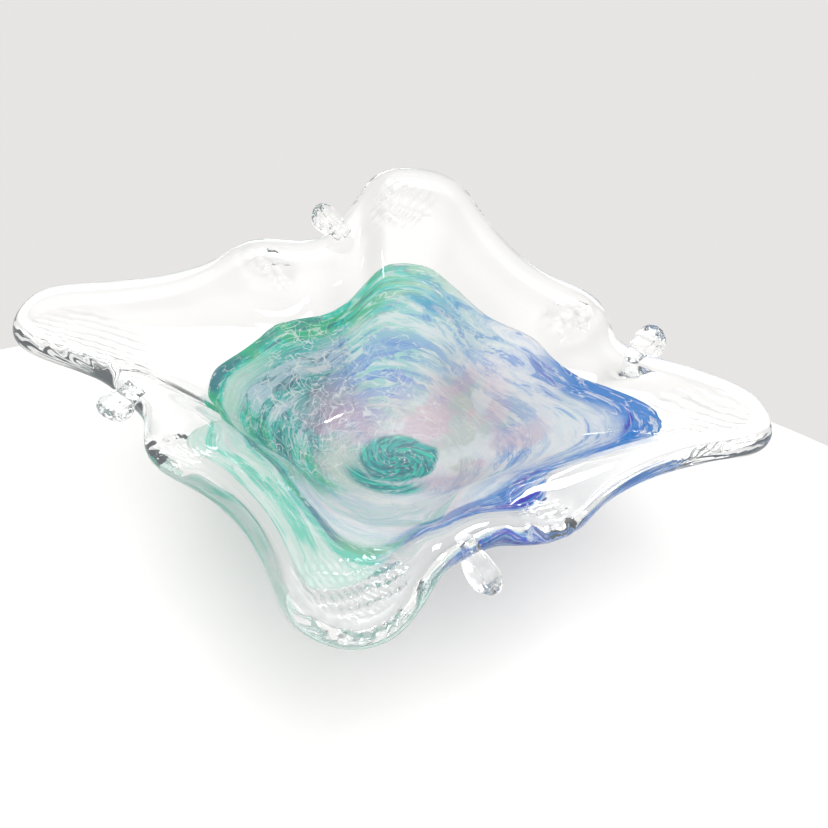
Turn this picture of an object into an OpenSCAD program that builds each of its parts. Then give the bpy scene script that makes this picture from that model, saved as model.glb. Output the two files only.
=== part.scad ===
// Four-cornered hot-worked art glass bowl: a marbled colour layer cased between
// a clear lining and a clear outer gather, with a flared and pincered clear rim.

/* [Rim] */
// Distance from the axis to the middle of a corner lobe's rounded tip
lobe_reach = 160; // [150:1:172]
// Height of the middle of the rim's rounded edge above the table
rim_h = 64; // [58:1:74]
// Radius of the fire-polished edge
edge_r = 4.5; // [3.5:0.5:5]
// How far each lobe is turned from its exact quarter, in degrees: west, north, east, south
lobe_turn = [0, 2.5, -1, -1]; // [-3:0.5:3]
// How far each lobe's tip is lifted above the rim
lobe_lift = [0.5, 3.5, -2, -1]; // [-4:0.5:4]
// How much further each lobe was pulled out
lobe_pull = [0, 2, -1.5, 1]; // [-3:0.5:3]

/* [Wall] */
// Height of the inside floor at the middle
floor_h = 12; // [10:0.5:16]
// Radius that the bowl would have at the rim if it were round
round_r = 98; // [92:1:104]
// How much the wall is drawn out towards its four corners
corner_draw = 0.15; // [0.08:0.01:0.2]
// Thickness of the wall where it flares
wall_t = 7; // [6:0.5:9]
// Extra thickness of the heavy base
base_t = 9; // [7:0.5:12]
// Share of the rise that follows the S-shaped flare
flare = 0.75; // [0.6:0.05:0.85]

/* [Foot] */
// Radius of the ground and polished foot
foot_r = 33; // [28:0.5:34]
// Thickness of the foot
foot_h = 3; // [2:0.5:5]
// Width of the bevel around the foot
foot_bevel = 1; // [0.5:0.5:1.5]

/* [Colour] */
// Thickness of the clear lining over the colour
lining_t = 2.5; // [2:0.5:3.5]
// Thickness of the coloured layer
colour_t = 2; // [1.5:0.5:2.5]
// Share of the wall, from the axis to the rim, that the colour covers
colour_reach = 0.78; // [0.72:0.01:0.82]
// How much further the colour reaches on the side it was thrown towards
colour_lean = 0.05; // [0:0.01:0.08]
// Direction of that side, in degrees
colour_lean_at = -10; // [-60:5:60]
// How far the colour falls short of the west corner
colour_short = 0.05; // [0:0.01:0.08]

/* [Curls] */
// Length of a curl from the rim to its end
curl_len = 19; // [14:1:22]
// Radius of a curl's bead
curl_r = 6.5; // [5:0.5:7]

/* [Hidden] */
SIDES = ["northwest", "northeast", "southeast", "southwest"];
CORNERS = ["west", "north", "east", "south"];

// One quarter of the rim, clockwise from a lobe's tip: angle, radius, lift
QUARTER = [
    [0, 160, 0], [7, 156, 2], [13.5, 133, 1], [24, 114, -1], [37, 108, -2], [49.5, 114, -2],
    [57, 108.5, -3.5], [63.5, 104.5, -3.5], [72, 110.5, -3], [77.5, 121, 1], [84.5, 153.5, 1]];
QUARTER_REACH = 160;
WEST = 179;
LOBE_HALF = 20;

STEPS = 4;
PER_QUARTER = len(QUARTER) * STEPS;
COLS = 4 * PER_QUARTER;

// The wall's rows, as shares of the way from the axis to the rim
ROUND_ROWS = [0, 0.1, 0.2, 0.36];
COLOUR_ROWS = [0.25, 0.5, 0.75, 1];
FLARE_ROWS = [1 / 3, 2 / 3, 1];
EDGE_ANGLES = [45, 90];
FIRST_FLARE = len(ROUND_ROWS) + len(COLOUR_ROWS) - 1;
EDGE_ROW = FIRST_FLARE + len(FLARE_ROWS);
LAST_ROW = EDGE_ROW + len(EDGE_ANGLES);
ROSETTE_ROW = 2;
VEIL_ROW = 3;
PAD_ROW = FIRST_FLARE + 1;

// Columns of a quarter where its features begin and end
LOBE_END = 2 * STEPS;
PAD_START = 4.5 * STEPS;
PAD_END = 6 * STEPS;
CURL_START = 8 * STEPS - 1;
CURL_COLS = 3;
LOBE_START = 9 * STEPS;

// ---- the rim's curve ----

function near_tip(a) = max(0, 1 - min(a, 90 - a) / LOBE_HALF);
function corner_of(k, a) = a > 45 ? (k + 1) % 4 : k;
function rim_knot(k, q) =
    let (n = near_tip(q[0]), c = corner_of(k, q[0]),
        a = WEST - 90 * k - q[0] + n * lobe_turn[c],
        r = q[1] * lobe_reach / QUARTER_REACH + n * lobe_pull[c])
    [r * cos(a), r * sin(a), rim_h + q[2] + n * lobe_lift[c]];
KNOTS = [for (k = [0:3]) for (q = QUARTER) rim_knot(k, q)];
function knot(i) = KNOTS[(i + len(KNOTS)) % len(KNOTS)];

// A centripetal spline through four knots, from the second to the third
function spline(a, b, c, d, t) =
    let (u = sqrt(norm(b - a)), v = sqrt(norm(c - b)), w = sqrt(norm(d - c)),
        m = v * ((b - a) / u - (c - a) / (u + v) + (c - b) / v),
        n = v * ((c - b) / v - (d - b) / (v + w) + (d - c) / w))
    (2 * t ^ 3 - 3 * t ^ 2 + 1) * b + (t ^ 3 - 2 * t ^ 2 + t) * m
    + (3 * t ^ 2 - 2 * t ^ 3) * c + (t ^ 3 - t ^ 2) * n;
RIM = [for (i = [0:COLS - 1]) let (k = floor(i / STEPS))
    spline(knot(k - 1), knot(k), knot(k + 1), knot(k + 2), (i % STEPS) / STEPS)];

// ---- the wall ----

function ease(a, b, x) = let (t = min(1, max(0, (x - a) / (b - a)))) t * t * (3 - 2 * t);
function rise(s) = flare * (1 - cos(180 * s ^ 1.5)) / 2 + (1 - flare) * s ^ 2;
function unit(v) = v / norm(v);
function plan(p) = [p[0], p[1], 0];

function mix(a, b, t) = a + (b - a) * t;
function direction(p) = atan2(p[1], p[0]);
// The wall is round low down, then four-cornered, and takes the rim's outline last
function drawn_r(p) = round_r * (1 + corner_draw * cos(4 * (direction(p) - WEST)));
function reach(p, s) =
    mix(mix(round_r, drawn_r(p), ease(0.3, 0.7, s)), norm(plan(p)), ease(0.6, 1, s));
// The wall's inside on the line from the axis to rim point p, at share s of the way
function inside(p, s) = s * reach(p, s) * unit(plan(p))
    + [0, 0, mix(floor_h, p[2] + edge_r, rise(s))];
function thickness(s) =
    wall_t + base_t * (1 - ease(0.3, 0.7, s)) + (2 * edge_r - wall_t) * ease(0.85, 1, s);
function outside(p, s) =
    let (q = inside(p, s)) [q[0], q[1], max(foot_h, q[2] - thickness(s))];

function colour_edge(p) =
    colour_reach + colour_lean * cos(direction(p) - colour_lean_at)
    - colour_short * ease(-0.75, -1, cos(direction(p)));
function share(p, j) = let (e = colour_edge(p), f = ROUND_ROWS[len(ROUND_ROWS) - 1])
    j < len(ROUND_ROWS) ? ROUND_ROWS[j]
    : j <= FIRST_FLARE ? f + (e - f) * COLOUR_ROWS[j - len(ROUND_ROWS)]
    : e + (1 - e) * FLARE_ROWS[j - FIRST_FLARE - 1];

// Upward and outward directions of the rounded edge at column i
function edge_up(i) =
    let (along = RIM[(i + 1) % COLS] - RIM[(i + COLS - 1) % COLS],
        out = RIM[i] - inside(RIM[i], 0.94) + [0, 0, edge_r])
    unit(cross(along, out));
function edge_out(i) =
    let (along = RIM[(i + 1) % COLS] - RIM[(i + COLS - 1) % COLS])
    unit(cross(edge_up(i), along));
function edge_point(i, a) =
    RIM[i] + edge_r * (cos(a) * edge_up(i) + sin(a) * edge_out(i));

// A wall point at column i and row j: above is 1 on the inside, -1 on the outside
function wall_point(i, j, above) =
    let (a = j > EDGE_ROW ? EDGE_ANGLES[j - EDGE_ROW - 1] : 0)
    j >= EDGE_ROW ? edge_point(i, above > 0 ? a : 180 - a)
    : above > 0 ? inside(RIM[i], share(RIM[i], j))
    : outside(RIM[i], share(RIM[i], j));
function wall_side(above) = [for (j = [0:LAST_ROW]) for (i = [0:COLS - 1])
    wall_point(i, j, above)];
INSIDE = wall_side(1);
OUTSIDE = wall_side(-1);
function lowered(points, by) = [for (p = points) p - [0, 0, by]];
UNDER_LINING = lowered(INSIDE, lining_t);
UNDER_COLOUR = lowered(INSIDE, lining_t + colour_t);

// ---- solids cut from the wall ----

// Rows meet at the axis and, on a whole rim, at the crest of the rounded edge
function top_index(i, j) = (j == 0 ? 0 : i % COLS) + COLS * j;
function bottom_index(i, j) =
    j == LAST_ROW ? top_index(i, j) : top_index(i, j) + COLS * (LAST_ROW + 1);
function tri(a, b, c) = a == b || b == c || a == c ? [] : [[a, b, c]];
function quad(a, b, c, d) = concat(tri(a, b, c), tri(a, c, d));
// The upright face over the edge from (i, j) to (k, l), split alike from both sides
function upright(i, j, k, l) =
    let (a = top_index(i, j), b = top_index(k, l), c = bottom_index(k, l), d = bottom_index(i, j))
    a < b ? quad(a, b, c, d) : concat(tri(a, b, d), tri(b, c, d));

// A cell belongs to the piece if owned[j][i] is true
function cell_faces(i, j, owned) = concat(
    quad(top_index(i, j), top_index(i, j + 1), top_index(i + 1, j + 1), top_index(i + 1, j)),
    quad(bottom_index(i, j), bottom_index(i + 1, j), bottom_index(i + 1, j + 1),
        bottom_index(i, j + 1)),
    owned[j][(i + COLS - 1) % COLS] ? [] : upright(i, j + 1, i, j),
    owned[j][(i + 1) % COLS] ? [] : upright(i + 1, j, i + 1, j + 1),
    j == 0 || owned[j - 1][i] ? [] : upright(i, j, i + 1, j),
    j == LAST_ROW - 1 || owned[j + 1][i] ? [] : upright(i + 1, j + 1, i, j + 1));

module wall_piece(above, below, owned) {
    faces = [for (j = [0:LAST_ROW - 1]) for (i = [0:COLS - 1]) if (owned[j][i])
        each cell_faces(i, j, owned)];
    polyhedron(concat(above, below), faces);
}

function cells(rule) =
    [for (j = [0:LAST_ROW - 1]) [for (i = [0:COLS - 1]) rule(i, j)]];
function in_colour(j) = j < FIRST_FLARE;
function in_lobe(i, j, k) = let (c = (i - k * PER_QUARTER + COLS) % COLS)
    j >= FIRST_FLARE && (c < LOBE_END || c >= COLS - PER_QUARTER + LOBE_START);
function in_pad(i, j, k) = let (c = i - k * PER_QUARTER)
    j >= PAD_ROW && c >= PAD_START && c < PAD_END;
function in_rim(i, j, k) = let (c = i - k * PER_QUARTER)
    j >= FIRST_FLARE && c >= LOBE_END && c < LOBE_START && !in_pad(i, j, k);

// Columns where one colour gives way to the next
GREEN_FROM = COLS - 2 * STEPS;
GREEN_TO = PER_QUARTER - 4 * STEPS;
BLUE_TO = 3 * PER_QUARTER - 4 * STEPS;
PINK_FROM = PER_QUARTER;
PINK_TO = 3 * PER_QUARTER - 2 * STEPS;
function in_green(i) = i >= GREEN_FROM || i < GREEN_TO;
function in_blue(i) = i >= GREEN_TO && i < BLUE_TO;
function in_pink(i) = i >= PINK_FROM && i < PINK_TO;

// ---- sub-parts ----

module ground_foot() {
    color("white", 0.4) rotate_extrude($fn = 96)
        polygon([[0, 0], [foot_r - foot_bevel, 0], [foot_r, foot_bevel],
            [foot_r, foot_h], [0, foot_h]]);
}

module outer_casing() {
    color("white", 0.3) wall_piece(UNDER_COLOUR, OUTSIDE, cells(function(i, j) in_colour(j)));
}

module inner_lining() {
    color("white", 0.3) wall_piece(INSIDE, UNDER_LINING, cells(function(i, j) in_colour(j)));
}

module colour_piece(rule) {
    wall_piece(UNDER_LINING, UNDER_COLOUR, cells(rule));
}

module rosette() {
    color("mediumseagreen") colour_piece(function(i, j) j < ROSETTE_ROW);
}

module pink_veil() {
    color("thistle") colour_piece(function(i, j)
        j >= ROSETTE_ROW && j < VEIL_ROW && in_pink(i));
}

module mint_veil() {
    color("lightcyan") colour_piece(function(i, j)
        j >= ROSETTE_ROW && j < VEIL_ROW && !in_pink(i));
}

module green_band() {
    color("seagreen") colour_piece(function(i, j)
        j >= VEIL_ROW && in_colour(j) && in_green(i));
}

module blue_band() {
    color("royalblue") colour_piece(function(i, j)
        j >= VEIL_ROW && in_colour(j) && in_blue(i));
}

module mint_band() {
    color("paleturquoise") colour_piece(function(i, j)
        j >= VEIL_ROW && in_colour(j) && !in_green(i) && !in_blue(i));
}

module rim_quarter(k) {
    color("white", 0.3) wall_piece(INSIDE, OUTSIDE, cells(function(i, j) in_rim(i, j, k)));
}

module lobe(k) {
    color("white", 0.3) wall_piece(INSIDE, OUTSIDE, cells(function(i, j) in_lobe(i, j, k)));
}

module pad(k) {
    color("white", 0.3) wall_piece(INSIDE, OUTSIDE, cells(function(i, j) in_pad(i, j, k)));
}

// A curl grows from a patch of the rounded edge, and ends in a bead that turns up:
// way out and way up as shares of its length, and girth as a share of the bead's
CURL_PATH = [[0.25, 0, 0.75], [0.5, 0.02, 0.8], [0.75, 0.08, 1], [0.93, 0.16, 0.72]];
CURL_TIP = [1, 0.2];
CURL_FLAT = 0.8;
module curl(k) {
    first = k * PER_QUARTER + CURL_START;
    middle = first + floor(CURL_COLS / 2);
    angles = [45, 90, 135];
    base = [for (a = angles) for (c = [0:CURL_COLS]) edge_point(first + c, a)];
    wide = CURL_COLS + 1;
    loop = concat([for (c = [0:CURL_COLS]) c], [2 * wide - 1],
        [for (c = [CURL_COLS:-1:0]) 2 * wide + c], [wide]);
    n = len(loop);
    up = edge_up(middle);
    out = edge_out(middle);
    along = cross(up, out);
    start = (edge_point(middle, 90) + edge_point(middle + 1, 90)) / 2;
    function turned(m) = let (d = base[loop[m]] - start) atan2(d * up, d * along);
    function ring(p) = [for (m = [0:n - 1]) start + curl_len * (p[0] * out + p[1] * up)
        + p[2] * curl_r * (cos(turned(m)) * along
            + sin(turned(m)) * CURL_FLAT * unit(up - p[1] * out))];
    rings = [for (p = CURL_PATH) each ring(p)];
    tip = start + curl_len * (CURL_TIP[0] * out + CURL_TIP[1] * up);
    body = len(base);
    last = body + (len(CURL_PATH) - 1) * n;
    base_faces = [for (c = [0:CURL_COLS - 1]) each concat(
        [[c, c + 1, wide + c + 1], [c, wide + c + 1, wide + c]],
        [[2 * wide + c, wide + c, wide + c + 1], [2 * wide + c, wide + c + 1, 2 * wide + c + 1]])];
    first_faces = [for (m = [0:n - 1]) let (q = (m + 1) % n) each
        [[loop[q], loop[m], body + m], [loop[q], body + m, body + q]]];
    side_faces = [for (r = [0:len(CURL_PATH) - 2]) for (m = [0:n - 1])
        let (q = (m + 1) % n, a = body + r * n) each
        [[a + q, a + m, a + n + m], [a + q, a + n + m, a + n + q]]];
    end_faces = [for (m = [0:n - 1]) [last + (m + 1) % n, last + m, last + n]];
    color("white", 0.4)
        polyhedron(concat(base, rings, [tip]),
            concat(base_faces, first_faces, side_faces, end_faces));
}

ground_foot();
outer_casing();
inner_lining();
rosette();
pink_veil();
mint_veil();
green_band();
blue_band();
mint_band();
for (k = [0:3]) rim_quarter(k);
for (k = [0:3]) lobe(k);
for (k = [0:3]) pad(k);
for (k = [0:3]) curl(k);
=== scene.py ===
# %% [markdown]
# A four-cornered art glass bowl. The real one is hot glass worked in one heat after another: a
# clear gather, a skin of coloured glass, more clear glass over it, then shears and pincers on the
# rim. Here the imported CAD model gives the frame, and everything that is seen is made around it.

# %% Load the frame
import math

import bmesh
import bpy
import numpy as np
from mathutils import Matrix, Vector


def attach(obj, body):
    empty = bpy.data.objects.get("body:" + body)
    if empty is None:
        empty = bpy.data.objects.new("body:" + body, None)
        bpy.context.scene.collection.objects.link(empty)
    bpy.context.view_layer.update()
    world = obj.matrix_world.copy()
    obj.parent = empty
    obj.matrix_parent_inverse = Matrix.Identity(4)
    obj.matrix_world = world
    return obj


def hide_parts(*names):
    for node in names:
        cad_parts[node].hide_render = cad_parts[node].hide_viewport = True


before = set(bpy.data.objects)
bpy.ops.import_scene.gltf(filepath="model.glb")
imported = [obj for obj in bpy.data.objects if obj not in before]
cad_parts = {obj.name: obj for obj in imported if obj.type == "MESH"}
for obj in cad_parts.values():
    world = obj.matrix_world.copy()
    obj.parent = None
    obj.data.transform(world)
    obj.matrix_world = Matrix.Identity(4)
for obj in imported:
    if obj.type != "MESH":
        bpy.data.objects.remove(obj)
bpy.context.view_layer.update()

MM = 0.001
SIDES = ("northwest", "northeast", "southeast", "southwest")
CORNERS = ("west", "north", "east", "south")

# %% [markdown]
# The rim is one smooth closed curve. A quarter of it is drawn with a few points, from one lobe's
# tip to the next, and the quarter is repeated four times with small differences of the hand, as
# on a real bowl. A spline through the points and a little smoothing give a line with no kinks,
# because a clear rim shows every kink as a bright flash.

# %% The rim's centre line, in millimetres
QUARTER = (
    (0, 160, 0), (7, 156, 2), (13.5, 133, 1), (24, 114, -1), (37, 108, -2), (49.5, 114, -2),
    (57, 108.5, -3.5), (63.5, 104.5, -3.5), (72, 110.5, -3), (77.5, 121, 1), (84.5, 153.5, 1))
RIM_H = 64.0
WEST = 179.0
LOBE_HALF = 20.0
LOBE_TURN = (0.0, 2.5, -1.0, -1.0)
LOBE_LIFT = (0.5, 3.5, -2.0, -1.0)
LOBE_PULL = (0.0, 2.0, -1.5, 1.0)
EDGE_R = 4.5
SPLINE_STEPS, SMOOTH_REACH = 60, 18


def ease(a, b, x):
    t = np.clip((x - a) / (b - a), 0, 1)
    return t * t * (3 - 2 * t)


def mix(a, b, t):
    return a + (b - a) * t


def unit(v):
    return v / np.linalg.norm(v, axis=-1, keepdims=True)


def rim_knots():
    knots = []
    for k in range(4):
        for angle, radius, lift in QUARTER:
            near = max(0.0, 1 - min(angle, 90 - angle) / LOBE_HALF)
            c = (k + 1) % 4 if angle > 45 else k
            a = math.radians(WEST - 90 * k - angle + near * LOBE_TURN[c])
            r = radius + near * LOBE_PULL[c]
            knots.append((r * math.cos(a), r * math.sin(a), RIM_H + lift + near * LOBE_LIFT[c]))
    return np.array(knots)


def closed_spline(knots, steps):
    """A centripetal spline round all the knots."""
    a, b = np.roll(knots, 1, 0), knots
    c, d = np.roll(knots, -1, 0), np.roll(knots, -2, 0)
    u, v, w = [np.sqrt(np.linalg.norm(q - p, axis=1))[:, None] for p, q in ((a, b), (b, c), (c, d))]
    m = v * ((b - a) / u - (c - a) / (u + v) + (c - b) / v)
    n = v * ((c - b) / v - (d - b) / (v + w) + (d - c) / w)
    t = (np.arange(steps) / steps)[:, None, None]
    line = ((2 * t**3 - 3 * t**2 + 1) * b + (t**3 - 2 * t**2 + t) * m
            + (3 * t**2 - 2 * t**3) * c + (t**3 - t**2) * n)
    return line.transpose(1, 0, 2).reshape(-1, 3)


def smoothed(values, reach):
    """Each value averaged with its neighbours round a closed row."""
    offsets = np.arange(-3 * reach, 3 * reach + 1)
    weights = np.exp(-0.5 * (offsets / reach) ** 2)
    total = sum(w * np.roll(values, o, 0) for w, o in zip(weights, offsets))
    return total / weights.sum()


fine_rim = smoothed(closed_spline(rim_knots(), SPLINE_STEPS), SMOOTH_REACH)
rim_angle = np.unwrap(np.arctan2(fine_rim[:, 1], fine_rim[:, 0]))
rim_length = np.linalg.norm(np.diff(fine_rim, axis=0, append=fine_rim[:1]), axis=1).sum()
print("rim length", round(rim_length), "mm")

# %% [markdown]
# The wall is a sheet between the axis and the rim. Low down it is round, half-way up it turns
# four-cornered, and near the rim it takes the rim's own outline, because the maker bends the rim
# last and the bends die out inwards. One formula gives any point of it, so the clear glass and
# the colour inside it always fit each other.

# %% The wall as a formula
ROUND_R = 98.0
CORNER_DRAW = 0.15
FLOOR_H = 12.0
WALL_T = 7.0
BASE_T = 9.0
FOOT_H = 3.0
FLARE = 0.75


def rise(s):
    return FLARE * (1 - np.cos(np.pi * s**1.5)) / 2 + (1 - FLARE) * s**2


def thickness(s):
    return WALL_T + BASE_T * (1 - ease(0.3, 0.7, s)) + (2 * EDGE_R - WALL_T) * ease(0.85, 1, s)


def at_angle(angles, column):
    """The rim's radius (column 0) or height (column 1) at any polar angle."""
    table = np.stack([np.hypot(fine_rim[:, 0], fine_rim[:, 1]), fine_rim[:, 2]], 1)[:, column]
    order = np.argsort(rim_angle % (2 * np.pi))
    return np.interp(angles % (2 * np.pi), (rim_angle % (2 * np.pi))[order], table[order],
                     period=2 * np.pi)


def inside(angles, s):
    """Points of the bowl's inside, for angles and shares of the way to the rim that broadcast."""
    drawn = ROUND_R * (1 + CORNER_DRAW * np.cos(4 * (angles - math.radians(WEST))))
    reach = mix(mix(ROUND_R, drawn, ease(0.3, 0.7, s)), at_angle(angles, 0), ease(0.6, 1, s))
    r = s * reach
    z = mix(FLOOR_H, at_angle(angles, 1) + EDGE_R, rise(s))
    return np.stack([r * np.cos(angles), r * np.sin(angles), z + 0 * r], -1)


print("wall", thickness(np.array([0.0, 0.5, 0.8, 1.0])).round(1), "mm thick")

# %% [markdown]
# All the clear glass is one continuous body: foot, casing, lining, rim, lobes and pads were
# gathered and drawn out hot, and no joint is left between them. Modelled as touching pieces they
# would show false mirrors at every joint, so one closed skin stands for them all. It is a grid
# that runs from the middle of the inside, over the rounded rim and back along the outside, with
# more columns where the tools left their marks.

# %% The grid's columns and rows
COLUMNS = 540
INNER_ROWS, FLARE_ROWS, EDGE_ROWS, UNDER_ROWS = 24, 80, 9, 50
FLARE_FROM = 0.78
FOOT_S = 0.36
PAD_TURN = 50.0


def column_angles():
    """Angles round the axis, closer together in the lobes and pads."""
    step = np.linalg.norm(np.roll(fine_rim, -1, 0) - fine_rim, axis=1)
    swept = np.abs(np.gradient(rim_angle))
    turn = (math.radians(WEST) - rim_angle) % (math.pi / 2)
    lobe = ease(0.36, 0.22, np.minimum(turn, math.pi / 2 - turn))
    pad = ease(0.26, 0.12, np.abs(turn - math.radians(PAD_TURN)))
    weight = step + swept * (450 * lobe + 110 * pad)
    along = np.concatenate([[0], np.cumsum(weight)])
    at = np.interp(np.arange(COLUMNS) / COLUMNS * along[-1], along, np.arange(len(along)))
    return np.interp(at, np.arange(len(rim_angle)), rim_angle)


theta = column_angles()
over_s = np.concatenate([np.linspace(0, FLARE_FROM, INNER_ROWS, endpoint=False),
                         np.linspace(FLARE_FROM, 1, FLARE_ROWS)])
under_s = 1 - (1 - FOOT_S) * np.linspace(0, 1, UNDER_ROWS) ** 1.15
print(len(over_s) + EDGE_ROWS + len(under_s), "rows by", COLUMNS, "columns")

# %% [markdown]
# Now the skin is laid row by row, as one long outline turned round the axis: up the inside, round
# the fire-polished edge, which is a half circle across the rim, and down the outside to the ground
# foot. Near the rim the wall's thickness is set off square to the flare and not straight down, or
# the edge would come out thin where the flare is steep.

# %% The clear skin, row by row
FOOT_ROWS = ((33.8, 3), (33.2, 2.7), (33, 2.2), (33, 1), (32.7, 0.4), (32, 0), (22, 0), (11, 0), (0, 0))
NUDGE = 0.004
FLARE_END = 0.94


def edge_frame(angles):
    """At each column: the rim point and the directions up from and out of the wall there."""
    end = inside(angles, np.ones(1))
    along = unit(inside(angles + NUDGE, np.ones(1)) - inside(angles - NUDGE, np.ones(1)))
    out = end - inside(angles, np.array([FLARE_END]))
    up = unit(np.cross(along, out))
    up = up * np.sign(up[:, 2:])
    return end - [0, 0, EDGE_R], up, unit(out - along * np.sum(out * along, 1, keepdims=True))


rim_centre, rim_up, rim_out = edge_frame(theta)


def wall_row(s, side):
    """One row of the grid on the inside (side 1) or the outside (side -1) of the wall."""
    half = float(thickness(np.array(s))) / 2
    across = unit(mix(np.array([0.0, 0.0, 1.0]), rim_up, ease(0.8, 1, s)))
    point = inside(theta, np.array([s])) - [0, 0, half] + side * half * across
    point[:, 2] = np.maximum(point[:, 2], FOOT_H)
    return point


turns = np.linspace(0, math.pi, EDGE_ROWS + 2)[1:-1]
rows = [wall_row(s, 1) for s in over_s]
rows += [rim_centre + EDGE_R * (math.cos(t) * rim_up + math.sin(t) * rim_out) for t in turns]
rows += [wall_row(s, -1) for s in under_s]
rows += [np.stack([r * np.cos(theta), r * np.sin(theta), z + 0 * theta], 1) for r, z in FOOT_ROWS]
grid = np.stack(rows)
row_s = np.concatenate([over_s, np.ones(EDGE_ROWS), under_s, np.zeros(len(FOOT_ROWS))])[:, None]
print("grid", grid.shape, "from", grid[..., 2].min().round(2), "to", grid[..., 2].max().round(2), "mm")

# %% [markdown]
# The lobes were squeezed flat in ribbed pincers while soft, and each squeeze left two families of
# grooves that cross each other: a fine comb and a coarser one. The south lobe was squeezed hard
# and shows a waffle, the west one shows long wavy grooves, the east one chevrons and the north
# one a small light net. Between the lobes four oval pads were pressed with plain pincers.
# Here each point of the skin learns where it is in the nearest tool mark.

# %% Where the tools touched: turn, two pitches, two depths, middle and half size of each mark
LOBE_MARKS = (
    (-8, 4.2, 7.0, 0.46, 0.26, (128, 3), (30, 18)),
    (28, 4.6, 8.0, 0.40, 0.34, (140, 2), (20, 17)),
    (33, 4.4, 8.5, 0.50, 0.36, (130, 1), (30, 18)),
    (-38, 3.5, 8.6, 0.62, 0.60, (136, 0), (27, 25)))
UNDER_MARKS = 0.22
PAD_AT = (0.935, 0.93, 0.935, 0.93)
PAD_HALF = (12.5, 9.0)
PAD_R = 102
WALL_RUN = 112


def lobe_marks():
    """Comb phase, coarse phase and the two depths at every point of the grid."""
    degrees = WEST - np.degrees(theta)
    nearest = np.round(degrees / 90).astype(int)
    radius = np.hypot(grid[..., 0], grid[..., 1])
    found = np.zeros((4,) + radius.shape)
    facing_in = np.where(np.arange(len(grid)) < len(over_s), 1.0, UNDER_MARKS)[:, None]
    for k, (turn, fine, coarse, cut, low, middle, half) in enumerate(LOBE_MARKS):
        swing = np.radians(nearest * 90 - degrees - LOBE_TURN[k])
        along, across = radius * np.cos(swing), radius * np.sin(swing)
        away = np.hypot((along - middle[0]) / half[0], (across - middle[1]) / half[1])
        mask = (nearest % 4 == k) * ease(1.12, 0.75, away) * ease(0.99, 0.955, row_s) * facing_in
        c, n = math.cos(math.radians(turn)), math.sin(math.radians(turn))
        here = mask > 0
        found[0][here] = ((across * c + along * n) / fine)[here]
        found[1][here] = ((along * c - across * n) / coarse)[here]
        found[2] += mask * cut
        found[3] += mask * low
    return found


def pad_marks():
    """How far into a pressed pad each point is, from 0 to 1."""
    degrees = WEST - np.degrees(theta)
    pressed = np.zeros(grid.shape[:2])
    for k in range(4):
        swing = np.radians((degrees - 90 * k - PAD_TURN + 180) % 360 - 180)
        across = swing * PAD_R
        along = (row_s - PAD_AT[k]) * WALL_RUN
        away = np.hypot(across / PAD_HALF[0], along / PAD_HALF[1])
        pressed += ease(1.15, 0.62, away) * (row_s > 0.5)
    return pressed


comb, coarse, comb_cut, coarse_cut = lobe_marks()
pads = pad_marks()
print("marked points", int((comb_cut > 0).sum()), "pressed points", int((pads > 0).sum()))

# %% [markdown]
# One small class lets a node tree be written as sums. It is used for the shaders and for the
# Geometry Nodes, so every rule in this file reads as a formula.

# %% Writing node trees as formulas


class Wire:
    """A node socket that can be added, multiplied and compared like a number."""

    def __init__(self, tree, socket):
        self.tree, self.socket = tree, socket

    def maths(self, operation, *values):
        return node(self.tree, "ShaderNodeMath", {"operation": operation}, (self,) + values)

    def __add__(self, other):
        return self.maths("ADD", other)

    def __sub__(self, other):
        return self.maths("SUBTRACT", other)

    def __rsub__(self, other):
        return self.maths("MULTIPLY_ADD", -1, other)

    def __mul__(self, other):
        return self.maths("MULTIPLY", other)

    __radd__, __rmul__ = __add__, __mul__

    def step(self, low, high):
        """0 below low, 1 above high, smooth between; low may be the larger."""
        values = (self, low, high)
        return node(self.tree, "ShaderNodeMapRange", {"interpolation_type": "SMOOTHSTEP"}, values)

    def clipped(self):
        return self.maths("MULTIPLY", 1).maths("MAXIMUM", 0).maths("MINIMUM", 1)


def node(tree, kind, settings=None, values=(), output=0):
    """Adds a node; values are given in order or by name and may be wires or plain values."""
    new = tree.nodes.new(kind)
    for key, value in (settings or {}).items():
        setattr(new, key, value)
    for key, value in (values.items() if isinstance(values, dict) else enumerate(values)):
        if isinstance(value, Wire):
            tree.links.new(value.socket, new.inputs[key])
        elif value is not None:
            new.inputs[key].default_value = value
    return Wire(tree, new.outputs[output])


print("node helper ready")

# %% [markdown]
# Every piece here starts as rows of points, so one helper turns rows into a closed solid and hangs
# the tool marks on its points as attributes. Doubles are merged before the normals are worked out,
# so that the poles close and every face points outwards: a glass shader needs to know which side
# of a face is glass.

# %% Making meshes


def finished_mesh(name, mesh, smooth=True):
    """Merges poles, turns faces outwards, shades and puts the mesh in an object."""
    bm = bmesh.new()
    bm.from_mesh(mesh)
    bmesh.ops.remove_doubles(bm, verts=bm.verts, dist=1e-6)
    bmesh.ops.dissolve_degenerate(bm, edges=bm.edges, dist=1e-7)
    bmesh.ops.recalc_face_normals(bm, faces=bm.faces)
    for face in bm.faces:
        face.smooth = smooth
    bm.to_mesh(mesh)
    bm.free()
    piece = bpy.data.objects.new(name, mesh)
    bpy.context.scene.collection.objects.link(piece)
    return piece


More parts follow.
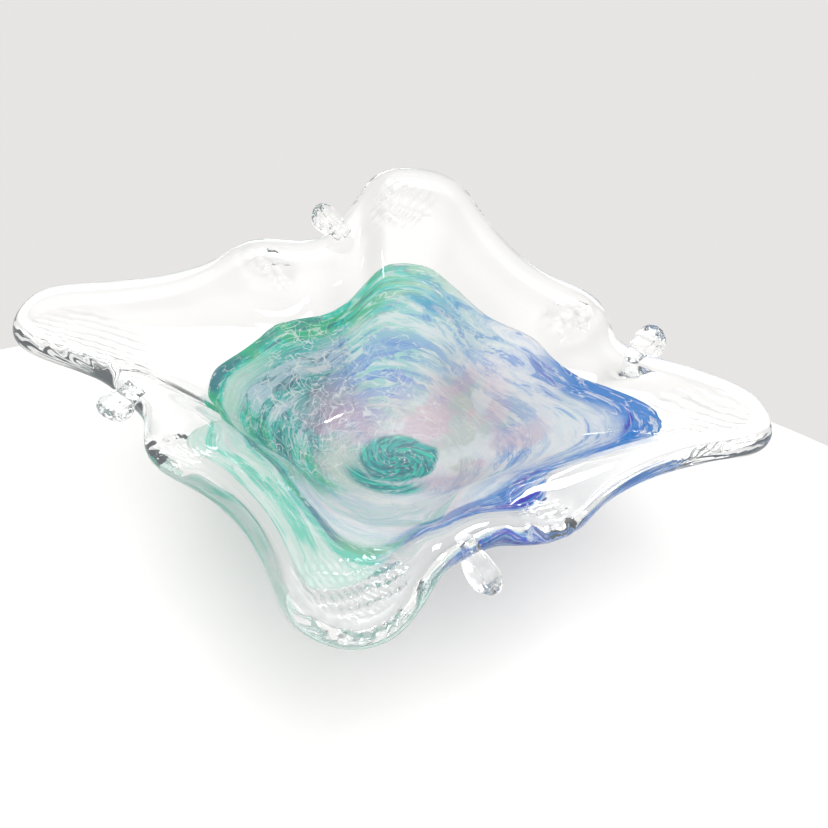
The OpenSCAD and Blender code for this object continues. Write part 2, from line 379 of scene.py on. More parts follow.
def grid_piece(name, points, attributes=None, smooth=True):
    """A solid from rows of points in millimetres; each row goes round."""
    count, wide = points.shape[:2]
    i, j = np.meshgrid(np.arange(count - 1), np.arange(wide), indexing="ij")
    k = (j + 1) % wide
    quads = np.stack([i * wide + j, i * wide + k, (i + 1) * wide + k, (i + 1) * wide + j], -1)
    mesh = bpy.data.meshes.new(name)
    mesh.from_pydata((points.reshape(-1, 3) * MM).tolist(), [], quads.reshape(-1, 4).tolist())
    for key, values in (attributes or {}).items():
        layer = mesh.attributes.new(key, "FLOAT", "POINT")
        layer.data.foreach_set("value", values.reshape(-1).astype(np.float32))
    return finished_mesh(name, mesh, smooth)


marks = {"comb": comb, "coarse": coarse, "comb_cut": comb_cut, "coarse_cut": coarse_cut}
body = grid_piece("clear_glass_body", grid, {**marks, "pressed": pads})
print("clear body", len(body.data.polygons), "faces")

# %% [markdown]
# Geometry Nodes press the marks into the soft skin: the tree reads the two phases, bends them a
# little with noise, because the glass slides under the pincers, and moves each point along its
# normal. The pads are dished, with a crumpled floor. A last slow wave over the whole rim stands
# for the unevenness of anything drawn out by hand.

# %% Pressing the tool marks into the glass


def modifier_tree(name, inputs):
    """A Geometry Nodes tree with a geometry input, named float inputs and a geometry output."""
    tree = bpy.data.node_groups.new(name, "GeometryNodeTree")
    tree.interface.new_socket("Geometry", in_out="INPUT", socket_type="NodeSocketGeometry")
    for key, kind in inputs.items():
        tree.interface.new_socket(key, in_out="INPUT", socket_type="NodeSocket" + kind)
    tree.interface.new_socket("Geometry", in_out="OUTPUT", socket_type="NodeSocketGeometry")
    source = tree.nodes.new("NodeGroupInput")
    return tree, {s.name: Wire(tree, s) for s in source.outputs if s.name}


def finish_tree(tree, geometry, material):
    """Ends the tree with Realize Instances, Set Material and the output."""
    solid = node(tree, "GeometryNodeRealizeInstances", None, (geometry,))
    painted = node(tree, "GeometryNodeSetMaterial", None, {"Geometry": solid, "Material": material})
    end = tree.nodes.new("NodeGroupOutput")
    tree.links.new(painted.socket, end.inputs[0])


def applied(piece, tree, values):
    """Runs a Geometry Nodes tree on a piece and keeps the result as a plain mesh."""
    modifier = piece.modifiers.new(tree.name, "NODES")
    modifier.node_group = tree
    for socket in tree.interface.items_tree:
        if socket.in_out == "INPUT" and socket.name in values:
            modifier[socket.identifier] = values[socket.name]
    graph = bpy.context.evaluated_depsgraph_get()
    mesh = bpy.data.meshes.new_from_object(piece.evaluated_get(graph))
    piece.modifiers.remove(modifier)
    piece.data = mesh
    return piece


def attribute(tree, name):
    return node(tree, "GeometryNodeInputNamedAttribute", {"data_type": "FLOAT"}, (name,))


def tooling_tree():
    inputs = {"Material": "Material", **{key: "Float" for key in ("Slide", "Dish", "Crumple", "Wave")}}
    tree, given = modifier_tree("press_tool_marks", inputs)
    place = node(tree, "GeometryNodeInputPosition")
    slide = node(tree, "ShaderNodeTexNoise", None, {"Vector": place, "Scale": 95, "Detail": 1})
    slide = (slide - 0.5) * given["Slide"]
    fine = ((attribute(tree, "comb") + slide) * math.tau).maths("SINE") * 1.7
    broad = ((attribute(tree, "coarse") + slide * 0.6) * math.tau).maths("SINE") * 1.5
    fine = fine.maths("MAXIMUM", -1).maths("MINIMUM", 1) - 1
    broad = broad.maths("MAXIMUM", -1).maths("MINIMUM", 1) - 1
    pressed = attribute(tree, "pressed")
    folds = node(tree, "ShaderNodeTexNoise", None, {"Vector": place, "Scale": 260, "Detail": 3})
    wave = node(tree, "ShaderNodeTexNoise", None, {"Vector": place, "Scale": 28, "Detail": 1})
    depth = fine * attribute(tree, "comb_cut") * 0.5 + broad * attribute(tree, "coarse_cut") * 0.5
    depth = depth - pressed * given["Dish"] + pressed * (folds - 0.5) * given["Crumple"]
    height = node(tree, "ShaderNodeSeparateXYZ", None, (place,), 2)
    depth = depth + (wave - 0.5) * given["Wave"] * height.step(0.03, 0.06)
    normal = node(tree, "GeometryNodeInputNormal")
    push = node(tree, "ShaderNodeVectorMath", {"operation": "SCALE"}, {0: normal, "Scale": depth * MM})
    moved = node(tree, "GeometryNodeSetPosition", None, {"Geometry": given["Geometry"], "Offset": push})
    finish_tree(tree, moved, given["Material"])
    return tree


tooling = tooling_tree()
print(len(tooling.nodes), "nodes press the marks")

# %% [markdown]
# The clear glass is fire-polished, so it is perfectly smooth, and only very slightly green. A
# trace of emission stands for the light that finds its way into a thick rim from all round a white
# room; without it, light that is trapped inside the rim would end as black lines.

# %% The clear glass, and the body pressed


def clear_glass():
    """Smooth clear glass with hardly any tint."""
    material = bpy.data.materials.new("clear_glass")
    material.use_nodes = True
    shader = material.node_tree.nodes["Principled BSDF"].inputs
    shader["Base Color"].default_value = (0.985, 0.995, 0.992, 1)
    shader["Transmission Weight"].default_value = 1
    shader["Roughness"].default_value = 0.0
    shader["IOR"].default_value = 1.5
    shader["Emission Color"].default_value = (0.86, 0.94, 1.0, 1)
    shader["Emission Strength"].default_value = 0.02
    return material


clear = clear_glass()
settings = {"Material": clear, "Slide": 1.1, "Dish": 0.8, "Crumple": 2.6, "Wave": 0.5}
applied(body, tooling, settings)
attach(body, "root")
skin_parts = ["ground_foot", "outer_casing", "inner_lining"]
skin_parts += ["rim_" + s for s in SIDES] + ["lobe_" + c for c in CORNERS] + ["pad_" + s for s in SIDES]
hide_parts(*skin_parts)
deepest = (comb_cut + coarse_cut).max().round(2)
print("body pressed:", len(body.data.vertices), "points, marks to", deepest, "mm deep")

# %% [markdown]
# Past each pad a lick of glass was pinched out of the rim, pulled and rolled over with the
# pincers, which ribbed it lengthways. It is a flat ribbon swept along a path that runs out from
# the rim and then rolls up; no two are alike. The root sinks into the rim, so it grows out of it.

# %% The four curls: turn past the lobe, run, roll radius, roll, start slope, width, thickness
CURLS = (
    (72, 14.0, 9.0, 50, 26, 17.0, 10.0),
    (72, 12.0, 8.0, 80, 18, 16.0, 11.0),
    (70, 20.0, 9.0, 30, -28, 14.5, 11.0),
    (72, 13.0, 8.0, 60, -12, 17.0, 10.5))
CURL_STEPS, CURL_ROUND, ROOT_IN = 70, 40, 3.5


def curl_piece(k, turn, run, roll_r, roll, slope, width, thick):
    """One rolled ribbon of glass growing out of the rim."""
    angle = np.array([math.radians(WEST - 90 * k - turn)])
    centre, _, out = edge_frame(angle)
    out = unit(out[0] * [1, 1, 0])
    side = np.array([-out[1], out[0], 0.0])
    length = run + roll_r * math.radians(roll)
    t = np.linspace(0, 1, CURL_STEPS)
    bend = np.clip((t * length - run) / (length - run), 0, 1)
    heading = np.radians(slope + roll * bend)
    step = length / (CURL_STEPS - 1)
    forward = out * np.cos(heading)[:, None] + [0, 0, 1] * np.sin(heading)[:, None]
    path = centre[0] - out * ROOT_IN + np.cumsum(forward * step, 0) - forward[0] * step
    normal = [0, 0, 1] * np.cos(heading)[:, None] - out * np.sin(heading)[:, None]
    tip = np.sqrt(np.maximum(1 - (np.maximum(t - 0.56, 0) / 0.44) ** 2.2, 0))
    root = np.sqrt(np.maximum(1 - (np.maximum(0.12 - t, 0) / 0.12) ** 2.2, 0))
    body_w = 0.5 * width * (0.62 + 0.38 * ease(0.15, 0.62, t))
    turnround = np.linspace(0, 2 * math.pi, CURL_ROUND, endpoint=False)
    half_w = (body_w * tip * root)[:, None, None] * np.cos(turnround)[None, :, None]
    half_t = (thick / 2 * tip * root * (1 - 0.25 * t))[:, None, None] * np.sin(turnround)[None, :, None]
    points = path[:, None] + side * half_w + normal[:, None] * half_t
    across = half_w[..., 0] + 0.4 * np.sin(9 * t)[:, None]
    cut = 0.95 * ease(0.1, 0.3, t)[:, None] * np.abs(np.sin(turnround))[None] * tip[:, None]
    none = np.zeros_like(across)
    given = {"comb": across / 3.3, "coarse": none + 3.1 * t[:, None], "comb_cut": cut}
    name = "curl_" + SIDES[k]
    piece = grid_piece(name, points, {**given, "coarse_cut": 0.35 * cut, "pressed": none})
    applied(piece, tooling, settings)
    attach(piece, "root")
    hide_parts(name)
    return piece


curls = [curl_piece(k, *shape) for k, shape in enumerate(CURLS)]
print("curls reach", [round(max(v.co.z for v in c.data.vertices) / MM, 1) for c in curls], "mm up")

# %% [markdown]
# Under the clear lining lies the colour: crushed glass in green, blue, pink and white, picked up
# on the hot gather, melted in and then twisted, so every chip is drawn out into a streak that
# follows the wall. In the middle the twist closes into a rosette. The six colour pieces share one
# field of colour, as they share one melt on the real bowl; only their dominant tint differs.

# %% The colour layer's shape
COLOUR_DOWN = 2.5
COLOUR_T = 2.0
TWIST = 1.1
STREAK = 9.0
COLOUR_SHARE = 0.78
LAYER_ROWS, LAYER_STEP, FEWEST = 71, 1.2, 25
WASHES = ((236.0, 44.0, 0.17), (300.0, 28.0, 0.07))


def colour_edge(angles):
    """Share of the way to the rim where the colour stops."""
    uneven = 0.0025 * np.cos(7 * angles + 1) + 0.0015 * np.cos(15 * angles)
    drawn = 0.05 * np.cos(angles + math.radians(10)) - 0.05 * ease(-0.75, -1, np.cos(angles))
    fuller = 0.03 * ease(34, 4, np.abs(np.degrees(angles) % 360 - 148))
    return COLOUR_SHARE + drawn + fuller + uneven


def last_veil(angles):
    """Share of the way where the wash ends: for each one its direction, half width and reach."""
    off = [np.abs((np.degrees(angles) - at + 180) % 360 - 180) for at, _, _ in WASHES]
    runs = [reach * ease(wide, 0.45 * wide, o) for o, (_, wide, reach) in zip(off, WASHES)]
    return colour_edge(angles) + np.maximum(*runs)


def layer_piece(name, inner, outer, start, stop):
    """A curved slab between two shares of the wall and two angles in degrees."""
    whole = stop - start >= 360
    count = max(FEWEST, int((stop - start) / LAYER_STEP))
    angles = np.radians(np.linspace(start, stop, count, endpoint=not whole))
    edge, last = colour_edge(angles), last_veil(angles)
    last = last if outer is None else outer + 0 * last
    s = mix(inner + 0 * last, last, np.linspace(0, 1, LAYER_ROWS)[:, None])
    top = inside(angles, s) - [0, 0, COLOUR_DOWN]
    q = s / edge
    drop = COLOUR_T * (1 - 0.85 * ease(0.955, 1, np.maximum(q * 0.99, s / last * (outer is None))))
    both = np.stack([top, top - np.stack([0 * s, 0 * s, drop], -1)])
    twisted = angles - TWIST * q
    polar = np.stack([np.cos(angles) + 0 * s, np.sin(angles) + 0 * s, q], -1)
    flow = np.stack([np.cos(twisted), np.sin(twisted), STREAK * q], -1)
    ids = np.arange(2 * s.size).reshape(2, *s.shape)
    ids = np.concatenate([ids, ids[:, :, :1]], 2) if whole else ids
    sheets = [ids[0], ids[1], ids[:, 0], ids[:, -1]] + ([] if whole else [ids[:, :, 0], ids[:, :, -1]])
    corners = [np.stack([g[:-1, :-1], g[:-1, 1:], g[1:, 1:], g[1:, :-1]], -1) for g in sheets]
    quads = np.concatenate([c.reshape(-1, 4) for c in corners])
    mesh = bpy.data.meshes.new(name)
    mesh.from_pydata((both.reshape(-1, 3) * MM).tolist(), [], quads.tolist())
    for key, values in (("polar", polar), ("flow", flow)):
        layer = mesh.attributes.new(key, "FLOAT_VECTOR", "POINT")
        layer.data.foreach_set("vector", np.stack([values, values]).reshape(-1).astype(np.float32))
    return finished_mesh(name, mesh)


LAYERS = (
    ("rosette", "green_glass", 0.0, 0.2, 0, 360),
    ("pink_veil", "pink_glass", 0.2, 0.36, -78.5, 89),
    ("mint_veil", "mint_glass", 0.2, 0.36, 89, 281.5),
    ("green_band", "green_glass", 0.36, None, 115.5, 191.5),
    ("blue_band", "blue_glass", 0.36, None, -64.5, 115.5),
    ("mint_band", "mint_glass", 0.36, None, 191.5, 295.5))
layers = {name: layer_piece(name, *shape) for name, slot, *shape in LAYERS}
print(sum(len(p.data.polygons) for p in layers.values()), "faces in the colour layer")

# %% [markdown]
# A tint has to be mixed for where it ends up. Under the lining, light that is turned back inside
# the clear glass passes through the colour again and deepens it, and the shine on the surface lays
# a pale haze over it. The palette says how each colour should look in the finished bowl, and one
# function works back to the colour that the glass itself needs.

# %% The palette, as each tint looks through the lining
WHITE, PALE_MINT, MINT = (0.92, 0.95, 0.97), (0.60, 0.84, 0.76), (0.30, 0.68, 0.61)
TEAL, DEEP_TEAL, GREEN = (0.08, 0.43, 0.41), (0.03, 0.24, 0.28), (0.02, 0.45, 0.28)
LEAF, LAVENDER, PERIWINKLE = (0.12, 0.60, 0.45), (0.66, 0.74, 0.88), (0.28, 0.42, 0.74)
BLUE, DEEP_BLUE, PINK = (0.08, 0.26, 0.62), (0.04, 0.15, 0.46), (0.74, 0.56, 0.64)
MAUVE, STONE = (0.46, 0.34, 0.46), (0.60, 0.66, 0.62)
KEPT_IN = 0.6
STUDIO = 0.90
HAZE = 0.15
DARKEST = 0.003


def tint(colour):
    """The glass's own colour: light turned back inside the lining passes through it again."""
    lit = [max(c - HAZE, DARKEST) for c in colour]
    return (*[c / (STUDIO * (1 - KEPT_IN) + KEPT_IN * c) for c in lit], 1)


print("the pale ground is mixed as", [round(c, 2) for c in tint(WHITE)])

# %% [markdown]
# The six colour pieces share one melt, so their materials share one field of colour. Two kinds of
# noise drive it. Noise read along the twisted flow gives streaks that run round the bowl, as
# crushed glass does when the gather is twisted. Noise read in plain space gives patches and bends
# the outlines, so that nothing ends on a drawn line. The masks say where on the bowl a colour is:
# by its direction from the axis, by its share of the way to the edge, or round a place.

# %% The field of colour: coordinates, noises and masks


class Field:
    """The colour field of one material: coordinates, noises, masks and layers of colour."""

    def __init__(self, tree):
        self.tree = tree
        self.place = node(tree, "ShaderNodeTexCoord", None, (), 3)
        self.flow = self.attribute("flow")
        self.polar = self.attribute("polar")
        self.cos, self.sin, self.q = [self.part(self.polar, k) for k in range(3)]
        self.x, self.y = self.part(self.place, 0) * 1000, self.part(self.place, 1) * 1000
        self.wide = self.noise(self.flow, 1.3, 4, 0.7)
        self.fine = self.noise(self.flow, 2.6, 5, 1.2, 0.6)
        self.thin = self.noise(self.flow, 6.0, 4, 0.8, 0.6)
        self.soft = self.noise(self.place, 22, 3)
        self.warp = (self.noise(self.place, 60, 4) - 0.5) * 16
        self.loose = self.q + (self.wide - 0.5) * 0.12 + (self.soft - 0.5) * 0.08
        self.bent = self.shifted(self.place, self.noise(self.place, 40, 2, output=1), 0.014)

    def attribute(self, name):
        return node(self.tree, "ShaderNodeAttribute", {"attribute_name": name}, (), 1)

    def part(self, vector, k):
        return node(self.tree, "ShaderNodeSeparateXYZ", None, (vector,), k)

    def noise(self, vector, scale, detail=3, distortion=0.0, rough=0.55, output=0):
        values = {"Vector": vector, "Scale": scale, "Detail": detail, "Roughness": rough}
        values["Distortion"] = distortion
        return node(self.tree, "ShaderNodeTexNoise", None, values, output)

    def shifted(self, vector, other, amount):
        """A vector moved about by a noise colour."""
        values = {0: other, "Scale": amount}
        moved = node(self.tree, "ShaderNodeVectorMath", {"operation": "SCALE"}, values)
        return node(self.tree, "ShaderNodeVectorMath", {"operation": "ADD"}, (vector, moved))

    def cells(self, vector, scale):
        """A random colour for each cell."""
        return node(self.tree, "ShaderNodeTexVoronoi", None, {"Vector": vector, "Scale": scale}, 1)

    def toward(self, degrees, width):
        """1 in one direction from the axis, 0 beyond a width either side."""
        a = math.radians(degrees)
        facing = self.cos * math.cos(a) + self.sin * math.sin(a)
        return facing.step(math.cos(math.radians(width)), math.cos(math.radians(width * 0.35)))

    def near(self, x, y, inner, outer, squash=1.0, ragged=True):
        """1 inside a round patch at a place in millimetres, 0 outside it."""
        bend = self.warp if ragged else 0.0
        dx, dy = self.x - x + bend, (self.y - y - bend) * squash
        return (dx * dx + dy * dy).maths("SQRT").step(outer, inner)

    def ridge(self, noise, width):
        """Thin lines where a noise crosses its middle."""
        return (noise - 0.5).maths("ABSOLUTE").step(width, width * 0.25)

    def over(self, ground, colour, mask):
        """Lays a colour over the ground where the mask is 1."""
        colour, ground = [c if isinstance(c, Wire) else tint(c) for c in (colour, ground)]
        values = {0: mask, 6: ground, 7: colour}
        return node(self.tree, "ShaderNodeMix", {"data_type": "RGBA"}, values, 2)


print("field of colour ready")

# %% [markdown]
# The wall's streaks come first, in four families that run into each other: lavender and blue in
# the north and east, teal and mint in the west, deep green in the southwest, and a milky white in
# the south, where the colour is thinnest. The lavender streaks over that white are partly its own
# colour and partly a painted smear, which stands for the near wall seen through the rim.

# %% The wall's streaks


def wall_streaks(f):
    """The four families of streaks, each laid over the last by its direction."""
    cool = f.over(LAVENDER, PERIWINKLE, f.wide.step(0.45, 0.56))
    cool = f.over(cool, MINT, f.soft.step(0.48, 0.58) * f.toward(125, 60) * 0.85)
    cool = f.over(cool, BLUE, f.fine.step(0.55, 0.61) * 0.65)
    cool = f.over(cool, WHITE, f.fine.step(0.49, 0.42) * 0.9)
    cool = f.over(cool, WHITE, f.thin.step(0.56, 0.64) * 0.6)
    fresh = f.over(TEAL, LAVENDER, f.wide.step(0.47, 0.56) * 0.75)
    fresh = f.over(fresh, MINT, f.soft.step(0.46, 0.56) * 0.7)
    fresh = f.over(fresh, DEEP_TEAL, f.fine.step(0.55, 0.62) * 0.75)
    fresh = f.over(fresh, WHITE, f.fine.step(0.46, 0.39) * 0.75 + f.thin.step(0.57, 0.64) * 0.3)
    west = (f.toward(160, 58) + (f.soft - 0.5) * 0.8).clipped()
    out = f.over(cool, fresh, west)
    deep = f.over(GREEN, LEAF, f.wide.step(0.45, 0.55))
    deep = f.over(deep, MINT, f.soft.step(0.50, 0.60) * 0.7)
    deep = f.over(deep, PALE_MINT, f.fine.step(0.44, 0.37) * 0.7)
    deep = f.over(deep, DEEP_TEAL, f.thin.step(0.55, 0.62) * 0.6)
    southwest = (f.toward(208, 44) + (f.soft - 0.5) * 0.9).clipped()
    out = f.over(out, deep, southwest)
    # Lavender over the milky south: partly its own colour, partly a painted smear of the near wall seen
    # through the rim.
    pale = f.over(WHITE, LAVENDER, f.wide.step(0.50, 0.58) * 0.55)
    pale = f.over(pale, PALE_MINT, f.fine.step(0.52, 0.62) * f.toward(240, 55) * 0.8)
    south = (f.toward(281, 50) + (f.soft - 0.5) * 0.6).clipped() * f.loose.step(0.24, 0.36)
    return f.over(out, pale, south * 0.95)


print("wall streaks ready")

# %% [markdown]
# Where the colour ends the maker rolled in stronger glass, and the flare drew it out into a band:
# green round the north and west, blue in the east and southeast, with a pale line inside it.
# Beyond the edge only a thin wash is left, which colours the clear wall from within.

# %% The saturated edge and the wash beyond it


def edge_bands(f, out):
    """Lays the strong bands and the wash over the streaks."""
    green = f.over(LEAF, GREEN, f.fine.step(0.56, 0.48))
    green = f.over(green, DEEP_TEAL, f.thin.step(0.53, 0.62) * 0.8)
    green = f.over(green, PALE_MINT, f.thin.step(0.45, 0.38) * 0.7)
    out = f.over(out, green, f.loose.step(0.87, 0.93) * f.toward(146, 84))
    blue = f.over(BLUE, DEEP_BLUE, f.fine.step(0.53, 0.62))
    blue = f.over(blue, LAVENDER, f.thin.step(0.45, 0.39) * 0.9)
    inner_line = f.loose.step(0.66, 0.74) * f.loose.step(0.86, 0.80)
    out = f.over(out, WHITE, inner_line * f.toward(-20, 60) * 0.6)
    out = f.over(out, blue, f.loose.step(0.88, 0.95) * f.toward(-8, 50))
    out = f.over(out, blue, f.q.step(0.93, 0.96) * f.toward(-50, 42) * 0.9)
    west_line = f.q.step(0.86, 0.90) * f.q.step(0.96, 0.94)
    out = f.over(out, PALE_MINT, west_line * f.toward(190, 50) * 0.8)
    line = f.over(DEEP_TEAL, GREEN, f.soft.step(0.42, 0.58))
    out = f.over(out, line, f.q.step(0.955, 0.98) * f.toward(206, 100) * 0.95)
    wash = f.over(PALE_MINT, LEAF, f.wide.step(0.50, 0.58) * 0.7)
    wash = f.over(wash, blue, f.toward(302, 34))
    wash = f.over(wash, WHITE, f.fine.step(0.49, 0.42) * 0.6)
    return f.over(out, wash, f.q.step(1.0, 1.012))


print("edge bands ready")

# %% [markdown]
# Chips that were larger than the rest did not melt all the way, so they stay as short strokes of
# blue in the northeast and of teal in the west. Nearer the middle, where the wall was hottest,
# pink and mauve ran out into soft patches. Cells of a Voronoi texture give the chips, and a
# coloured noise gives the patches.

# %% The chips and the soft patches


def chips_and_patches(f, out):
    """Lays the chips and the pink, mauve and stone patches over the wall."""
    chips = f.cells(f.shifted(f.flow, f.noise(f.place, 90, 3, output=1), 0.4), 2.0)
    ring = f.loose.step(0.32, 0.42) * f.loose.step(0.86, 0.74)
    chosen = f.part(chips, 0).step(0.58, 0.62) * ring
    chip = f.over(BLUE, PERIWINKLE, f.fine.step(0.40, 0.52))
    out = f.over(out, chip, chosen * f.toward(72, 80) * 0.9)
    dark_chip = f.over(TEAL, DEEP_TEAL, f.fine.step(0.4, 0.6))
    out = f.over(out, dark_chip, chosen * f.toward(182, 62) * 0.85)
    patch = f.noise(f.bent, 34, 3, output=1)
    blush = f.over(PINK, STONE, f.part(patch, 1).step(0.47, 0.55))
    blush = f.over(blush, WHITE, f.part(patch, 2).step(0.52, 0.58) * 0.8)
    out = f.over(out, blush, f.near(22, 16, 18, 46) * f.toward(25, 115) * 0.9)
    out = f.over(out, PINK, f.near(62, 6, 5, 15, 1.4) * 0.6)
    out = f.over(out, MAUVE, f.near(-20, 16, 8, 30, 0.8) * f.soft.step(0.36, 0.52) * 0.85)
    out = f.over(out, MAUVE, f.near(30, -12, 4, 22, 1.2) * f.soft.step(0.40, 0.55) * 0.5)
    return f.over(out, STONE, f.near(-4, -2, 20, 30) * f.toward(215, 110) * 0.85)


print("chips and patches ready")

# %% [markdown]
# The twist closes in the middle, where the gather was pinched off the iron, and winds the glass up
# into a rosette. Its pattern is noise read in wound-up coordinates: the angle grows with the
# distance from the middle, so every crease turns into a spiral. The same winding bends the white
# threads that were pulled out round it.

# %% The rosette and the white threads
ROSETTE_X, ROSETTE_Y = 6.5, 5.5
WINDING = 0.13


def rosette_and_threads(f, out):
    """Lays the threads and then the wound rosette over everything else."""
    dx, dy = f.x - ROSETTE_X + f.warp * 0.35, f.y - ROSETTE_Y - f.warp * 0.2
    far = (dx * dx + dy * dy).maths("SQRT")
    swept = dy.maths("ARCTAN2", dx) + far * WINDING
    turned = (swept.maths("COSINE") * far, swept.maths("SINE") * far, 0)
    wound = node(f.tree, "ShaderNodeCombineXYZ", None, turned)
    petals = f.noise(wound, 0.085, 4, 1.2)
    creases = f.noise(wound, 0.15, 4, 1.8)
    rose = f.over(LEAF, TEAL, petals.step(0.42, 0.52))
    rose = f.over(rose, DEEP_TEAL, creases.step(0.45, 0.55) * 0.85)
    rose = f.over(rose, DEEP_TEAL, f.near(11, 3, 3, 12) * creases.step(0.38, 0.50) * 0.9)
    rose = f.over(rose, PALE_MINT, petals.step(0.40, 0.32) * 0.5)
    rose = f.over(rose, WHITE, f.ridge(petals, 0.010) * 0.7)
    crescent = far.step(17, 20) * far.step(29, 24) * f.near(-2, -20, 15, 27, 1.0, False)
    disc = (far + f.warp * 0.6).step(18.5, 15.5)
    lace = f.ridge(f.noise(f.bent, 62, 2, 0.4), 0.010) + f.ridge(f.noise(f.bent, 36, 3, 0.6), 0.007)
    lace = lace * (f.near(-20, 16, 30, 56) * 0.7 + 0.05)
    curled = f.ridge(f.noise(wound, 0.10, 4, 1.6), 0.012) * f.near(-14, 12, 30, 46) * 0.8
    drawn = f.ridge(f.noise(f.flow, 1.7, 4, 1.8), 0.014) * 0.7 * far.step(20, 30)
    out = f.over(out, WHITE, (lace + curled + drawn).clipped())
    return f.over(out, rose, (disc + crescent).clipped())


print("rosette and threads ready")

# %% [markdown]
# Coloured glass of this kind is dense, but not quite opaque. A soft, hardly shining surface shows
# its colour, because the shine belongs to the clear lining over it, and a fifth of it is
# translucent, so that light from the table comes up through it.

# %% The coloured glass, put on the six pieces
LIGHT_THROUGH = 0.2
COLOUR_ROUGHNESS = 0.4
COLOUR_SHINE = 0.1


def coloured_glass(slot):
    """A material with the whole field of colour, named for its slot."""
    material = bpy.data.materials.new(slot)
    material.use_nodes = True
    tree = material.node_tree
    shader = tree.nodes["Principled BSDF"]
    shader.inputs["Roughness"].default_value = COLOUR_ROUGHNESS
    shader.inputs["Specular IOR Level"].default_value = COLOUR_SHINE
    f = Field(tree)
    colour = rosette_and_threads(f, chips_and_patches(f, edge_bands(f, wall_streaks(f))))
    tree.links.new(colour.socket, shader.inputs["Base Color"])
    glow = node(tree, "ShaderNodeBsdfTranslucent", None, {"Color": colour})
    parts = (LIGHT_THROUGH, Wire(tree, shader.outputs[0]), glow)
    both = node(tree, "ShaderNodeMixShader", None, parts)
    tree.links.new(both.socket, tree.nodes["Material Output"].inputs["Surface"])
    return material


tints = {slot: coloured_glass(slot) for slot in ("green_glass", "blue_glass", "mint_glass", "pink_glass")}
for name, slot, *shape in LAYERS:
    layers[name].data.materials.append(tints[slot])
    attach(layers[name], "root")
    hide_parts(name)
print(len(tints["blue_glass"].node_tree.nodes), "nodes in the colour field")

# %% [markdown]
# The bowl stands on a round white table, a turned disc with an eased rim, a hair below the foot.
# It gives off a little light of its own. That stands for the light which a white room throws back
# from every side, and it keeps the bowl's shadow soft and pale.

# %% The table
TABLE_X, TABLE_Y, TABLE_GAP = 10, -264, 0.1
TABLE_ROWS = ((0, 0), (387, 0), (389, -0.6), (390, -3), (390, -20), (0, -20))
ring = np.linspace(0, 2 * math.pi, 257)[:-1]


def table_row(r, z):
    """One ring of the table's outline."""
    return np.stack([r * np.cos(ring) + TABLE_X, r * np.sin(ring) + TABLE_Y, z - TABLE_GAP + 0 * ring], 1)


table = grid_piece("table_top", np.stack([table_row(r, z) for r, z in TABLE_ROWS]), smooth=False)
white = bpy.data.materials.new("white_table")
white.use_nodes = True
lacquer = white.node_tree.nodes["Principled BSDF"].inputs
lacquer["Base Color"].default_value = (0.50, 0.50, 0.50, 1)
lacquer["Roughness"].default_value = 0.6
lacquer["Emission Color"].default_value = (1, 0.99, 0.98, 1)
lacquer["Emission Strength"].default_value = 0.32
table.data.materials.append(white)
print("table", TABLE_ROWS[3][0] * 2, "mm across")

# %% [markdown]
# Clear glass has no colour of its own: it shows the room. So the room is made with care. It grows
# brighter upwards, it has a soft bright patch of ceiling that the clear flares reflect, and a
# bright side behind the viewer, which lights the near edge. The horizon stays a quiet grey, so
# that the outline of the glass is seen against it.

# %% The room's light
ROOM_TINT = (0.80, 0.785, 0.77, 1)
CEILING, BEHIND = (0.07, 0.36, 0.93), (0.0, -1.0, 0.0)
ABOVE_ON, CEILING_ON, BEHIND_ON = 1.7, 1.1, 1.0

scene = bpy.context.scene
scene.view_settings.view_transform = "Standard"
world = bpy.data.worlds.new("soft_room")
scene.world = world
world.use_nodes = True
sky = world.node_tree
look = node(sky, "ShaderNodeTexCoord")


def facing(direction):
    """How nearly a line of sight points in a direction."""
    return node(sky, "ShaderNodeVectorMath", {"operation": "DOT_PRODUCT"}, (look, direction), 1)


height = node(sky, "ShaderNodeSeparateXYZ", None, (look,), 2)
strength = height.step(0.40, 1.0) * ABOVE_ON + facing(CEILING).step(0.86, 0.97) * CEILING_ON
strength = strength + facing(BEHIND).step(0.3, 0.9) * BEHIND_ON + 1
tinted = node(sky, "ShaderNodeBackground", None, {0: ROOM_TINT, 1: strength})
sky.links.new(tinted.socket, sky.nodes["World Output"].inputs[0])
print(len(sky.nodes), "nodes in the room")

# %% [markdown]
# The viewer looks down at the bowl from a little less than three quarters of a metre, with the
# camera tipped slightly to one side. Its three axes are written out from the elevation and the
# roll, so nothing depends on an object to look at.

# %% The camera
ELEVATION, ROLL = math.radians(37.5), math.radians(6.5)
DISTANCE = 729
LOOK_H = 40
FRAME, FOCAL, SENSOR = 828, 1671, 36
SHIFT_X, SHIFT_Y = 26.1, 1.0

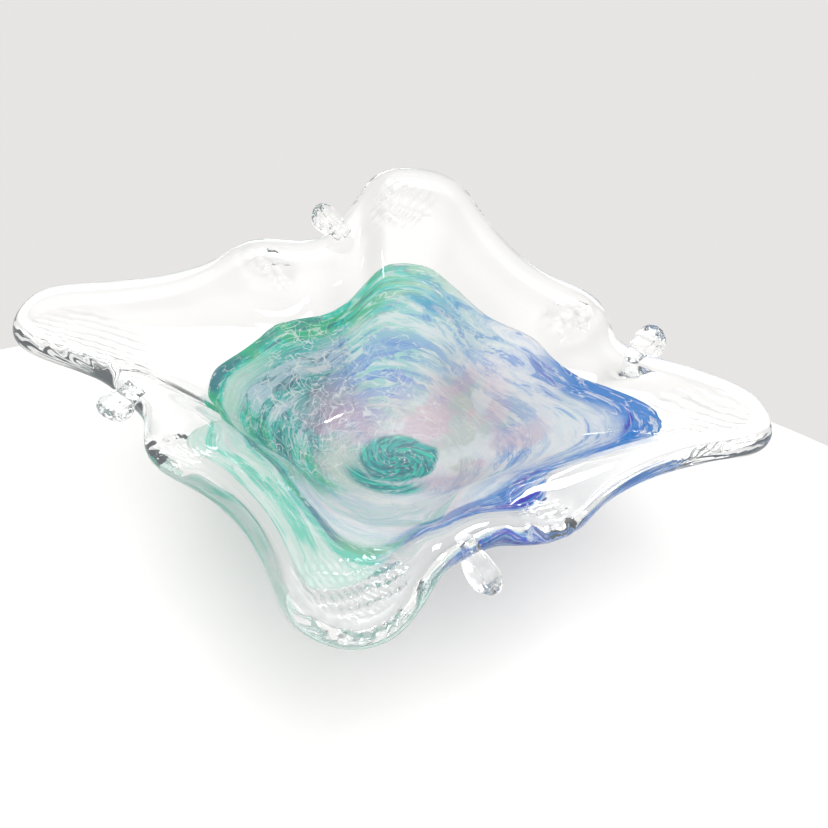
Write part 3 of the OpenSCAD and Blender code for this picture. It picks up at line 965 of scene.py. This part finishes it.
right = Vector((1, 0, 0))
forward = Vector((0, math.cos(ELEVATION), -math.sin(ELEVATION)))
up = Vector((0, math.sin(ELEVATION), math.cos(ELEVATION)))
cam_x = right * math.cos(ROLL) + up * math.sin(ROLL)
cam_y = up * math.cos(ROLL) - right * math.sin(ROLL)
at = (Vector((0, 0, LOOK_H)) - forward * DISTANCE) * MM
camera = bpy.data.objects.new("camera", bpy.data.cameras.new("camera"))
turn = Matrix((cam_x, cam_y, -forward)).transposed().to_4x4()
camera.matrix_world = Matrix.Translation(at) @ turn
camera.data.sensor_width = SENSOR
camera.data.lens = FOCAL / FRAME * SENSOR
camera.data.shift_x = SHIFT_X / FRAME
camera.data.shift_y = SHIFT_Y / FRAME
scene.collection.objects.link(camera)
scene.camera = camera
print("camera at", [round(v, 3) for v in at], "lens", round(camera.data.lens, 1), "mm")

# %% [markdown]
# Two long thin lamps give the hard bright lines that show how smooth fire-polished glass is: one
# high on the right and one low beyond the bowl, whose reflection lies along the southeast wall.

# %% The strip lamps


def strip_light(name, start, end, width, power):
    """A long thin lamp between two points, shining at the bowl."""
    start, end = Vector(start), Vector(end)
    lamp = bpy.data.lights.new(name, "AREA")
    lamp.shape = "RECTANGLE"
    lamp.size, lamp.size_y = (end - start).length, width
    lamp.energy = power
    obj = bpy.data.objects.new(name, lamp)
    x = (end - start).normalized()
    z = (start + end).normalized()
    y = z.cross(x).normalized()
    z = x.cross(y)
    axes = Matrix((x, y, z)).transposed().to_4x4()
    obj.matrix_world = Matrix.Translation((start + end) / 2) @ axes
    scene.collection.objects.link(obj)
    print(name, round(lamp.size, 2), "m long")


strip_light("strip_side", (0.66, 0.46, 1.36), (0.76, 0.72, 1.22), 0.06, 1.5)
strip_light("strip_far", (-0.32, 1.54, 0.38), (-0.04, 1.54, 0.42), 0.20, 1.8)

# %% [markdown]
# Last, the number of pieces of glass that are shown is printed.

# %% The count of pieces, and the end
print(1 + len(curls) + len(layers), "pieces of glass are shown")
